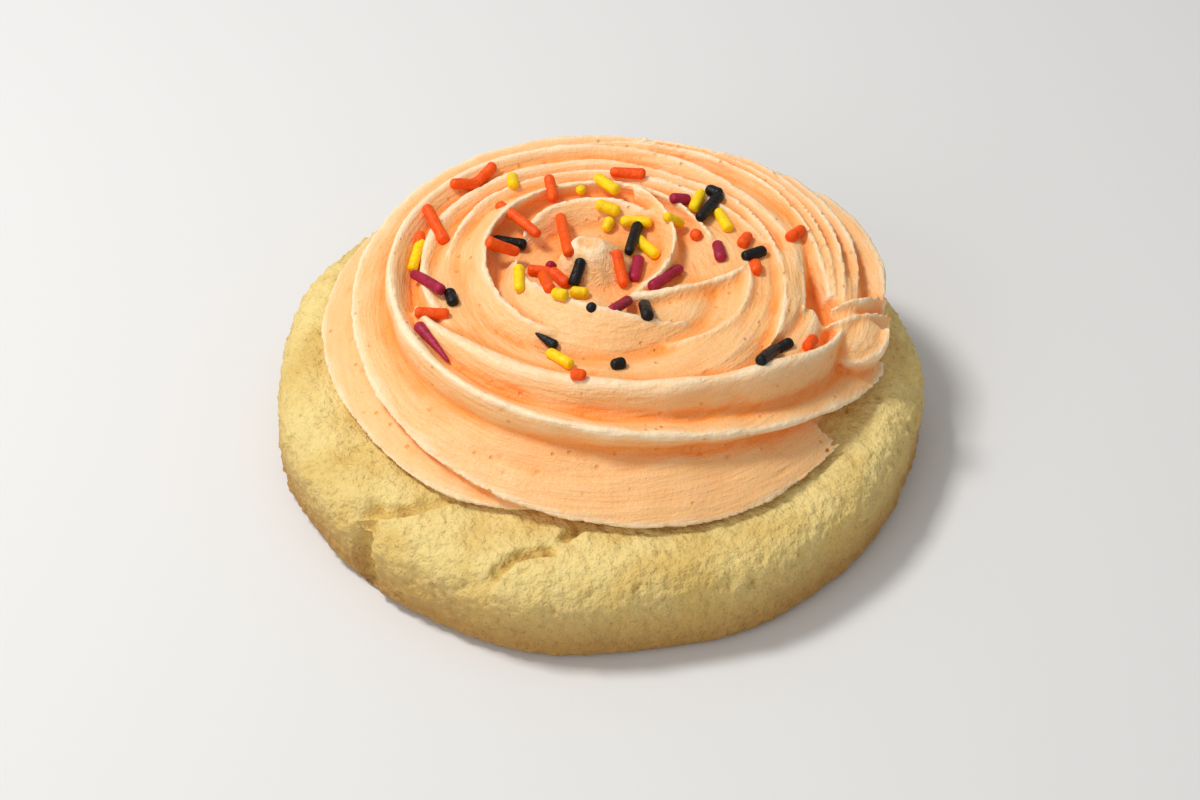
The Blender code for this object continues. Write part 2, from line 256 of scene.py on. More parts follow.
RIDGES = (
    Ridge("skirt_left", 268, 175, (35.5, 39.6, 40.0, 42.0, 42.4, 41.2, 39.0),
          (14.6, 14.7, 14.9, 15.3, 16.2, 17.6, 19.6), (108, 104, 100, 92), (9, 11), (1.5, 2.4),
          blunt=0.46),
    Ridge("skirt_front", 325, 262, (40.6, 41.0, 38.8, 37.3, 36.8, 38.0, 38.4, 37.2, 36.4),
          (14.8, 14.9, 16.0, 18.3, 20.2, 21.8, 23.4, 24.4, 24.6), (112, 112, 100, 82, 64, 56, 50),
          (10, 9), (1.6, 2.4), blunt=0.46),
    Ridge("crown_outer", 351, 364,
          (42.0, 37.0, 32.9, 30.8, 30.2, 30.6, 31.6, 32.3, 31.4, 30.3, 28.6, 28.8, 29.2),
          (15.0, 20.2, 24.1, 26.0, 26.6, 26.8, 27.0, 27.1, 27.1, 27.1, 26.9, 26.5, 25.8),
          (104, 44, 22, 22, 24, 20), (11, 9), (4.2, 3.0), blunt=0.58),
    Ridge("crown_inner", 346, 152, (35.0, 31.0, 27.0, 24.8, 24.3, 25.2, 27.8),
          (23.8, 27.5, 28.4, 28.5, 28.4, 28.1, 26.8), (10, 14, 10, 6), (8, 9), (3.6, 4.4),
          blunt=0.44),
    Ridge("groove_edge", 222, 190, (23.0, 25.6, 27.8, 28.6, 28.0, 26.0, 24.5),
          (26.0, 26.2, 26.3, 26.3, 26.4, 26.6, 26.2), (24, 24, 20), (6, 6), (2.6, 2.6), blunt=0.5),
    Ridge("inner_coil", 262, 232, (13.5, 15.4, 16.8, 18.6, 19.8, 19.6, 18.2),
          (26.6, 28.0, 29.0, 29.2, 28.6, 28.0, 27.0), (-30, -34, -34, -20, 0), (8, 7), (2.4, 2.2)),
    Ridge("middle_petal", 318, 150, (15.0, 11.6, 9.8, 9.2, 9.8, 11.4, 13.0),
          (27.0, 28.6, 29.2, 29.3, 29.0, 28.4, 27.4), (-34, -46, -46, -30), (9.5, 8), (2.8, 2.4)),
    Ridge("scoop_fill", 356, 62, (12.0, 12.5, 13.0), (26.3, 26.4, 26.3), (0, 0), (5, 5),
          (6.5, 6.5), blunt=0.3),
    Ridge("tail_shelf", 350, 30, (30.2, 29.8, 29.0), (24.8, 25.2, 25.0), (0, 0), (6, 6),
          (3.2, 3.4), blunt=0.3),
    Ridge("tail_neck", 24, 40, (36.0, 35.2, 34.8), (23.4, 24.4, 23.6), (0, 0), (7, 7),
          (3.4, 3.4), blunt=0.3),
    Ridge("right_fill", 70, 96, (29.0, 29.6, 29.2, 26.6, 27.6), (25.6, 26.0, 26.3, 26.5, 26.0),
          (0, 0), (5, 5), (3.2, 3.0), blunt=0.3),
    Ridge("right_scoop", 372, 84, (21.0, 21.2, 20.4, 18.0, 15.0), (26.8, 27.0, 26.8, 26.4, 25.8),
          (24, 20), (6, 5), (2.2, 2.2)),
    Ridge("scoop_lip", 366, 58, (20.4, 14.6, 10.4, 8.2, 6.4), (26.9, 27.4, 27.6, 27.6, 27.2),
          (10, 10), (6, 5), (3.6, 3.4), blunt=0.5),
    Ridge("heart_arc", 76, 114, (19.0, 14.6, 10.4, 7.6, 6.0), (28.9, 28.5, 28.3, 27.8, 27.0),
          (14, 20), (6, 5), (2.2, 2.6)),
    Ridge("back_coil", 168, 150, (23.6, 24.6, 24.4, 23.6, 23.6, 24.8),
          (26.8, 27.4, 27.4, 27.3, 27.2, 26.6), (24, 24, 20), (5, 5), (2.6, 2.0)),
    Ridge("back_fold", 146, 84, (15.0, 16.6, 16.4, 15.6), (27.4, 28.0, 28.0, 27.4),
          (24, 24), (5, 5), (2.2, 2.2)),
    Ridge("right_fan_a", 66, 98, (26.0, 26.2, 26.0, 26.2, 27.6), (26.8, 26.9, 26.9, 26.9, 26.8),
          (16, 16), (5, 5), (1.9, 1.9)),
    Ridge("tail_top", 96, 100, (32.0, 31.8, 32.0, 32.2, 32.2, 32.0, 32.6),
          (26.8, 27.3, 27.5, 27.5, 27.3, 26.6, 24.6), (8, 12, 20), (6, 6), (1.9, 1.6)),
    Ridge("tail_rib_a", 84, 88, (33.6, 34.0, 34.0, 33.9, 33.6, 33.4),
          (26.4, 26.9, 27.1, 27.0, 26.6, 24.8), (16, 22, 28), (6, 6), (1.7, 1.5)),
    Ridge("tail_side", 70, 78, (35.2, 36.4, 36.4, 36.0, 35.4, 34.6),
          (25.0, 26.0, 26.3, 26.3, 26.0, 24.4), (28, 32, 36), (6, 6), (1.9, 1.6)),
    Ridge("tail_rib_b", 60, 66, (36.8, 38.6, 38.8, 38.6, 37.8, 36.6),
          (22.6, 24.4, 25.0, 25.0, 24.8, 23.6), (44, 46, 50), (6, 6), (1.8, 1.6)),
    Ridge("tail_foot", 52, 54, (37.4, 40.4, 41.6, 42.0, 42.0, 41.0),
          (20.5, 22.2, 23.0, 23.2, 22.8, 21.6), (56, 58, 60), (7, 7), (2.6, 2.2), blunt=0.5),
    Ridge("tail_hem", 68, 74, (38.4, 40.4, 41.4, 41.8, 41.4, 40.4),
          (17.4, 18.4, 19.0, 19.0, 18.4, 17.2), (80, 84, 84), (8, 8), (2.4, 2.2)),
    Ridge("skirt_back", 140, 150, (39.6, 40.2, 39.4, 39.6, 40.6, 41.0, 39.0),
          (14.8, 15.2, 15.6, 16.0, 16.4, 16.4, 15.4), (112, 108, 108), (9, 9), (2.4, 2.4)),
    Ridge("tail_rim", 372, 206, (5.6, 5.2, 4.6, 4.4, 4.6, 5.0, 5.2),
          (22.8, 21.8, 20.8, 20.4, 20.8, 21.8, 23.2), (36, 46, 36), (5, 5), (1.9, 1.7),
          blunt=0.45, centre=(36.1, -4.4)),
    Ridge("tail_fold", 120, 52, (9.6, 9.7, 10.4, 12.4, 15.8), (24.0, 24.6, 24.4, 23.4, 21.6),
          (-6, -6, 10), (6, 5), (1.7, 1.4), centre=(36.5, -14.0)),
    Ridge("tail_fold_high", 108, 36, (12.2, 12.8, 14.4, 17.8), (25.0, 25.4, 24.8, 23.0),
          (0, 6, 16), (5, 5), (1.5, 1.3), centre=(36.5, -14.0)),
    Ridge("centre_curl", 232, 112, (2.6, 2.9, 2.8, 2.0), (28.0, 29.3, 29.7, 29.6),
          (-22, -18, 0), (5, 4), (1.5, 1.3), centre=(-0.8, 6.9)),
)

MOUND = ((0.0, 25.2), (6.0, 25.0), (11.0, 24.8), (15.0, 25.2), (20.0, 26.2), (24.0, 26.0),
         (27.0, 24.4), (29.8, 22.0), (32.6, 19.8), (34.8, 17.2), (36.0, 12.0))


class Shading:
    """The node tree of one material, with short ways to add to it."""

    def __init__(self, tree: bpy.types.NodeTree) -> None:
        """Start from an empty tree."""
        self.tree = tree
        tree.nodes.clear()

    def add(self, kind: str, **values: object) -> bpy.types.Node:
        """A node with these properties set.

        Args:
            kind: the node's type.
            values: properties of the node.

        Returns:
            The node.
        """
        node = self.tree.nodes.new(kind)
        for name, value in values.items():
            setattr(node, name, value)
        return node

    def join(self, source: object, target: object) -> None:
        """Link an output to an input."""
        self.tree.links.new(source, target)

    def feed(self, node: bpy.types.Node, key: object, value: object) -> None:
        """Set an input to a value, or link an output to it."""
        if isinstance(value, bpy.types.NodeSocket):
            self.join(value, node.inputs[key])
        else:
            node.inputs[key].default_value = value

    def math(self, operation: str, *values: object, clamp: bool = False) -> object:
        """The result of a Math node."""
        node = self.add("ShaderNodeMath", operation=operation, use_clamp=clamp)
        for i, value in enumerate(values):
            self.feed(node, i, value)
        return node.outputs[0]

    def mix(self, share: object, first: object, second: object) -> object:
        """Two colours mixed."""
        node = self.add("ShaderNodeMix", data_type="RGBA")
        self.feed(node, 0, share)
        self.feed(node, 6, first)
        self.feed(node, 7, second)
        return node.outputs[2]

    def noise(self, place: object, scale: float, detail: float = 3.0) -> object:
        """A noise value at a place; scale is in lumps per metre."""
        node = self.add("ShaderNodeTexNoise")
        self.feed(node, "Vector", place)
        node.inputs["Scale"].default_value = scale
        node.inputs["Detail"].default_value = detail
        return node.outputs[0]

    def remap(self, value: object, low: float, high: float, to_low: float = 0.0,
              to_high: float = 1.0) -> object:
        """A value moved from one range to another, kept inside it."""
        node = self.add("ShaderNodeMapRange")
        self.feed(node, 0, value)
        for i, number in enumerate((low, high, to_low, to_high)):
            node.inputs[i + 1].default_value = number
        return node.outputs[0]

    def bump(self, height: object, distance: float, strength: float = 1.0,
             normal: object = None) -> object:
        """A bumped normal; distance is in metres."""
        node = self.add("ShaderNodeBump")
        node.inputs["Strength"].default_value = strength
        node.inputs["Distance"].default_value = distance
        self.feed(node, "Height", height)
        if normal is not None:
            self.join(normal, node.inputs["Normal"])
        return node.outputs[0]


def flow_lines() -> bpy.types.NodeTree:
    """A group that draws fine lines running round the swirl, as a star tip leaves them."""
    group = bpy.data.node_groups.new("flow_lines", "ShaderNodeTree")
    group.interface.new_socket("Fineness", in_out="INPUT", socket_type="NodeSocketFloat")
    group.interface.new_socket("Lines", in_out="OUTPUT", socket_type="NodeSocketFloat")
    art = Shading(group)
    entry, leave = art.add("NodeGroupInput"), art.add("NodeGroupOutput")
    place = art.add("ShaderNodeTexCoord").outputs["Object"]
    parts = art.add("ShaderNodeSeparateXYZ")
    art.join(place, parts.inputs[0])
    x = art.math("SUBTRACT", parts.outputs[0], SWIRL_CENTRE[0] * MM)
    y = art.math("SUBTRACT", parts.outputs[1], SWIRL_CENTRE[1] * MM)
    reach = art.math("SQRT", art.math("ADD", art.math("MULTIPLY", x, x), art.math("MULTIPLY", y, y)))
    safe = art.math("MAXIMUM", reach, 0.0005)
    across = art.math("MULTIPLY", reach, entry.outputs[0])
    up = art.math("MULTIPLY", parts.outputs[2], entry.outputs[0])
    spot = art.add("ShaderNodeCombineXYZ")
    for key, value in enumerate((across, up, art.math("MULTIPLY", art.math("DIVIDE", x, safe), 5.0))):
        art.join(value, spot.inputs[key])
    lines = art.add("ShaderNodeTexNoise", noise_dimensions="4D")
    art.join(spot.outputs[0], lines.inputs["Vector"])
    art.join(art.math("MULTIPLY", art.math("DIVIDE", y, safe), 5.0), lines.inputs["W"])
    lines.inputs["Scale"].default_value = 1.0
    lines.inputs["Detail"].default_value = 3.0
    art.join(lines.outputs[0], leave.inputs[0])
    return group


@dataclass(frozen=True)
class FrostingFinish:
    """Whipped peach frosting: crests pale partly from painted highlight, grooves and air pits a
    strong orange from painted shade, a soft uneven gloss.
    """

    # painted highlight: this pale cream goes on the convex crests, partly the frosting's own paler
    # tone and partly painted highlight; the fine streaks also lean towards it
    crest: tuple[float, float, float, float] = linear(254, 224, 184)
    body: tuple[float, float, float, float] = linear(252, 190, 122)
    # painted shade: the strong orange laid into the grooves and small air pits where the frosting
    # falls into shadow
    shade_orange: tuple[float, float, float, float] = linear(255, 152, 56)
    roughness: float = 0.46

    def build(self) -> bpy.types.Material:
        """The material, reading the hollowness values kept on the mesh to place painted shade in the
        hollows and painted highlight on the crests.
        """
        material = bpy.data.materials.new("frosting_peach")
        material.use_nodes = True
        art = Shading(material.node_tree)
        out = art.add("ShaderNodeOutputMaterial")
        shader = art.add("ShaderNodeBsdfPrincipled")
        art.join(shader.outputs[0], out.inputs[0])
        place = art.add("ShaderNodeTexCoord").outputs["Object"]
        wide = art.add("ShaderNodeAttribute", attribute_name="groove_wide").outputs["Fac"]
        fine = art.add("ShaderNodeAttribute", attribute_name="groove_fine").outputs["Fac"]
        cloud = art.noise(place, 160.0)
        wander = art.remap(cloud, 0.3, 0.7, -0.10, 0.10)
        # painted shade: the hollows of the swirl turn strong orange
        shade_share = art.remap(art.math("ADD", wide, wander), -0.02, 0.40)
        # painted highlight: the convex crests turn pale cream
        raised = art.math("SUBTRACT", art.math("MULTIPLY", wide, -0.9), fine)
        pale = art.remap(art.math("ADD", raised, wander), 0.20, 1.15)
        tone = art.mix(shade_share, self.body, self.shade_orange)
        tone = art.mix(pale, tone, self.crest)
        lines = art.add("ShaderNodeGroup", node_tree=flow_lines())
        lines.inputs[0].default_value = 1500.0
        streak = art.remap(lines.outputs[0], 0.35, 0.65)
        tone = art.mix(art.math("MULTIPLY", streak, 0.16), tone, self.crest)
        spots = art.add("ShaderNodeTexVoronoi")
        art.join(place, spots.inputs["Vector"])
        spots.inputs["Scale"].default_value = 480.0
        chance = art.add("ShaderNodeSeparateXYZ")
        art.join(spots.outputs["Color"], chance.inputs[0])
        # painted shade: the small air pits turn orange; the same pits are also bumped in below
        pit = art.math("MULTIPLY", art.remap(spots.outputs["Distance"], 0.17, 0.07),
                       art.remap(chance.outputs[0], 0.55, 0.60))
        tone = art.mix(art.math("MULTIPLY", pit, 0.7), tone, self.shade_orange)
        art.join(tone, shader.inputs["Base Color"])
        speck = art.noise(place, 1400.0, 2.0)
        art.join(art.remap(speck, 0.3, 0.7, self.roughness - 0.06, self.roughness + 0.1),
                 shader.inputs["Roughness"])
        first = art.bump(lines.outputs[0], 0.00036, 0.9)
        second = art.bump(speck, 0.00016, 0.7, first)
        crumbly = art.noise(place, 3600.0, 1.0)
        third = art.bump(crumbly, 0.00010, 0.7, second)
        flat = art.math("SUBTRACT", 1.0, pit)
        art.join(art.bump(flat, 0.00020, 0.8, third), shader.inputs["Normal"])
        shader.inputs["Subsurface Weight"].default_value = 0.15
        shader.inputs["Subsurface Radius"].default_value = (1.0, 0.45, 0.2)
        shader.inputs["Subsurface Scale"].default_value = 0.002
        shader.inputs["Specular IOR Level"].default_value = 0.4
        return material


@dataclass(frozen=True)
class CrumbFinish:
    """Baked sugar cookie: pale yellow crumb, golden specks, darker towards the bottom from baked
    browning at the base and painted shade on the side wall, painted shade in the cracks and hollows.
    """

    pale: tuple[float, float, float, float] = linear(238, 212, 138)
    golden: tuple[float, float, float, float] = linear(222, 187, 106)
    # darker tone for the lower side and the base: partly baked browning, partly painted shade on the
    # side wall
    side: tuple[float, float, float, float] = linear(186, 142, 76)
    brown: tuple[float, float, float, float] = linear(150, 100, 40)

    def build(self) -> bpy.types.Material:
        """The material, reading the crumb's depth kept on the mesh, which lays painted shade in the
        cracks and hollows.
        """
        material = bpy.data.materials.new("cookie_crumb")
        material.use_nodes = True
        art = Shading(material.node_tree)
        out = art.add("ShaderNodeOutputMaterial")
        shader = art.add("ShaderNodeBsdfPrincipled")
        art.join(shader.outputs[0], out.inputs[0])
        place = art.add("ShaderNodeTexCoord").outputs["Object"]
        height = art.add("ShaderNodeSeparateXYZ")
        art.join(place, height.inputs[0])
        hollow = art.add("ShaderNodeAttribute", attribute_name="hollow").outputs["Fac"]
        patch = art.noise(place, 130.0, 4.0)
        speck = art.noise(place, 1100.0, 4.0)
        tone = art.mix(art.remap(patch, 0.42, 0.68), self.pale, self.golden)
        # darker towards the bottom: baked browning at the base, painted shade on the side wall
        low = art.remap(art.math("ADD", height.outputs[2], art.remap(patch, 0.3, 0.7, -0.002, 0.002)),
                        0.0120, 0.003)
        tone = art.mix(low, tone, self.side)
        # painted shade: shallow cracks and hollows turn golden
        tone = art.mix(art.remap(hollow, 0.04, 0.5), tone, self.golden)
        tone = art.mix(art.math("MULTIPLY", art.remap(speck, 0.60, 0.78), 0.5), tone, self.brown)
        # painted shade: the deepest cracks and hollows turn brown
        tone = art.mix(art.remap(hollow, 0.45, 1.6), tone, self.brown)
        art.join(tone, shader.inputs["Base Color"])
        shader.inputs["Roughness"].default_value = 0.72
        shader.inputs["Specular IOR Level"].default_value = 0.3
        shader.inputs["Subsurface Weight"].default_value = 0.06
        shader.inputs["Subsurface Radius"].default_value = (1.0, 0.6, 0.3)
        shader.inputs["Subsurface Scale"].default_value = 0.001
        first = art.bump(speck, 0.0007, 0.9)
        second = art.bump(art.noise(place, 2600.0, 2.0), 0.0002, 0.8, first)
        art.join(second, shader.inputs["Normal"])
        return material


@dataclass(frozen=True)
class SprinkleFinish:
    """Waxy sugar rods of one colour."""

    tint: Tint
    colour: tuple[float, float, float, float]
    dark: tuple[float, float, float, float]

    def build(self) -> bpy.types.Material:
        """The material for this colour."""
        material = bpy.data.materials.new(f"sprinkle_{self.tint.value}")
        material.use_nodes = True
        art = Shading(material.node_tree)
        out = art.add("ShaderNodeOutputMaterial")
        shader = art.add("ShaderNodeBsdfPrincipled")
        art.join(shader.outputs[0], out.inputs[0])
        place = art.add("ShaderNodeTexCoord").outputs["Object"]
        cloud = art.noise(place, 900.0)
        art.join(art.mix(art.remap(cloud, 0.4, 0.7), self.colour, self.dark),
                 shader.inputs["Base Color"])
        art.join(art.remap(art.noise(place, 2500.0), 0.3, 0.7, 0.36, 0.56),
                 shader.inputs["Roughness"])
        art.join(art.bump(art.noise(place, 1900.0), 0.00025, 0.7), shader.inputs["Normal"])
        shader.inputs["Subsurface Weight"].default_value = 0.05
        shader.inputs["Subsurface Scale"].default_value = 0.001
        shader.inputs["Specular IOR Level"].default_value = 0.3
        return material


@dataclass
class PipedSwirl:
    """The frosting: a rope from a star tip wound into a rosette, its ridges curling over."""

    finish: FrostingFinish = field(default_factory=FrostingFinish)
    step_deg: float = 1.6
    section_steps: int = 14
    voxel: float = 0.44
    floor: float = 13.9
    peak_at: tuple[float, float] = (-0.6, 6.8)
    peak_radii: tuple[float, float] = (5.8, 1.8)
    peak_heights: tuple[float, float] = (24.6, 29.2)
    peak_curl: float = 0.8
    tail_at: tuple[float, float] = (36.0, -4.2)
    tail_reach: tuple[float, float, float] = (5.1, 4.0, 3.3)
    tail_middle: float = 20.0

    def section(self, depth: float, width: float, blunt: float) -> list[tuple[float, float]]:
        """A ridge's section: crest at the start, sides that curve in, root inside.

        Args:
            depth: from the crest to the root.
            width: half the width at the root.
            blunt: below 0.5 the crest is broad, above it is sharp.

        Returns:
            Places (across, along) in mm.
        """
        count = self.section_steps
        steps = [(i / count) ** 2 for i in range(count + 1)]
        right = [(width * t**blunt, -depth * t) for t in steps]
        left = [(-width * t ** (blunt * 1.15), -depth * t) for t in steps[:0:-1]]
        return right + left

    def ring(self, ridge: Ridge, t: float) -> list[tuple[float, float, float]]:
        """The ridge's section in place, this far along it, in metres."""
        azimuth = math.radians(ridge.start - ridge.sweep * t)
        radius, height = along(ridge.radii, t), along(ridge.heights, t)
        lean = math.radians(along(ridge.leans, t))
        ends = 0.25 + 0.75 * min(1.0, 7 * t) * min(1.0, 7 * (1 - t))
        section = self.section(along(ridge.depth, t) * (0.6 + 0.4 * ends),
                               along(ridge.width, t) * ends, ridge.blunt)
        places = []
        for s, d in section:
            r = radius + s * math.cos(lean) + d * math.sin(lean)
            z = height - s * math.sin(lean) + d * math.cos(lean)
            places.append(((ridge.centre[0] + r * math.cos(azimuth)) * MM,
                           (ridge.centre[1] + r * math.sin(azimuth)) * MM,
                           max(z, self.floor) * MM))
        return places

    def strand(self, ridge: Ridge) -> bpy.types.Object:
        """One ridge as a closed bar along its spiral."""
        steps = max(24, int(ridge.sweep / self.step_deg))
        grid = bmesh.new()
        rings = [[grid.verts.new(p) for p in self.ring(ridge, k / steps)] for k in range(steps + 1)]
        size = len(rings[0])
        for near, far in zip(rings, rings[1:]):
            for i in range(size):
                j = (i + 1) % size
                grid.faces.new((near[i], near[j], far[j], far[i]))
        grid.faces.new(rings[0][::-1])
        grid.faces.new(rings[-1])
        bmesh.ops.recalc_face_normals(grid, faces=grid.faces)
        return object_of(ridge.name, grid)

    def mound(self) -> bpy.types.Object:
        """The solid middle that the ridges stand on, spun from its profile."""
        grid = bmesh.new()
        line = [grid.verts.new((r * MM, 0.0, z * MM)) for r, z in MOUND]
        edges = [grid.edges.new(pair) for pair in zip(line, line[1:])]
        bmesh.ops.spin(grid, geom=line + edges, cent=(0, 0, 0), axis=(0, 0, 1),
                       angle=2 * math.pi, steps=144)
        bmesh.ops.remove_doubles(grid, verts=grid.verts, dist=1e-6)
        rim = [e for e in grid.edges if e.is_boundary]
        bmesh.ops.holes_fill(grid, edges=rim)
        bmesh.ops.recalc_face_normals(grid, faces=grid.faces)
        bmesh.ops.translate(grid, verts=grid.verts,
                            vec=(SWIRL_CENTRE[0] * MM, SWIRL_CENTRE[1] * MM, 0.0))
        return object_of("mound", grid)

    def peak(self) -> bpy.types.Object:
        """The little curled peak in the middle."""
        deselect()
        low, high = self.peak_heights
        bpy.ops.mesh.primitive_cone_add(
            vertices=48, depth=(high - low) * MM,
            radius1=self.peak_radii[0] * MM, radius2=self.peak_radii[1] * MM,
            location=(self.peak_at[0] * MM, self.peak_at[1] * MM, (low + high) / 2 * MM))
        item = bpy.context.object
        bpy.ops.object.mode_set(mode="EDIT")
        bpy.ops.mesh.subdivide(number_cuts=4)
        bpy.ops.object.mode_set(mode="OBJECT")
        bpy.ops.object.transform_apply(location=True, rotation=True, scale=True)
        places = points_of(item)
        share = (places[:, 2] - low) / (high - low)
        places[:, 0] -= self.peak_curl * share**2
        set_points(item, places)
        return item

    def tail(self) -> bpy.types.Object:
        """The rounded end of the rope, drooping over the flat petal on the right."""
        deselect()
        bpy.ops.mesh.primitive_uv_sphere_add(
            segments=64, ring_count=32, radius=1.0,
            location=(self.tail_at[0] * MM, self.tail_at[1] * MM, self.tail_middle * MM),
            scale=tuple(reach * MM for reach in self.tail_reach))
        item = bpy.context.object
        bpy.ops.object.transform_apply(location=True, rotation=True, scale=True)
        return item

    def roughen(self, item: bpy.types.Object) -> None:
        """Fine lines round the swirl, ragged crests and small air pits."""
        places, out = points_of(item), normals_of(item)
        dx, dy = places[:, 0] - SWIRL_CENTRE[0], places[:, 1] - SWIRL_CENTRE[1]
        reach = np.maximum(np.hypot(dx, dy), 0.5)
        turned = np.stack([reach, places[:, 2], 4.0 * dx / reach], axis=1)
        turned[:, 2] += 4.0 * dy / reach * 1.37
        lines = grain(turned, 1.3, 3.1)
        crest = np.clip(-hollowness(item, 5) / 0.10, 0.0, 1.0)
        ragged = grain(places, 0.9, 8.3)
        soft = grain(places, 5.0, 1.9)
        pits = np.clip(1.0 - cells(places, 3.6, 2.4) / 0.13, 0.0, 1.0)
        push = 0.09 * lines + 0.12 * crest * ragged + 0.25 * soft - 0.40 * pits
        set_points(item, places + out * push[:, None])

    def build(self) -> bpy.types.Object:
        """Ridges, mound, peak and tail as one skin, roughened and dressed."""
        parts = [self.mound(), self.peak(), self.tail()]
        parts += [self.strand(ridge) for ridge in RIDGES]
        item = joined(parts, "frosting_swirl")
        item.data.materials.clear()
        skin = item.modifiers.new("skin", "REMESH")
        skin.mode = "VOXEL"
        skin.voxel_size = (self.voxel * 1.0) * MM
        soft = item.modifiers.new("soft", "SMOOTH")
        soft.factor, soft.iterations = 0.5, 2
        apply_modifiers(item)
        self.roughen(item)
        keep_value(item, "groove_wide", hollowness(item, 60))
        keep_value(item, "groove_fine", hollowness(item, 10) / 0.3)
        item.data.materials.append(self.finish.build())
        make_active(item)
        bpy.ops.object.shade_smooth()
        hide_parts("frosting")
        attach(item, "root")
        return item


@dataclass(frozen=True)
class Crack:
    """A split in the cookie's top, deepest where it starts."""

    start: tuple[float, float]
    end: tuple[float, float]
    half: float
    depth: float


CRACKS = (
    Crack((-36.0, -31.5), (-21.0, -30.6), 0.8, 2.2),
    Crack((-40.0, -24.0), (-34.0, -21.5), 0.5, 1.0),
    Crack((0.0, -32.0), (-7.0, -39.0), 0.7, 2.2),
    Crack((-7.0, -39.0), (-17.0, -43.6), 0.7, 2.2),
    Crack((-35.0, -20.0), (-31.0, -16.0), 0.5, 0.9),
)


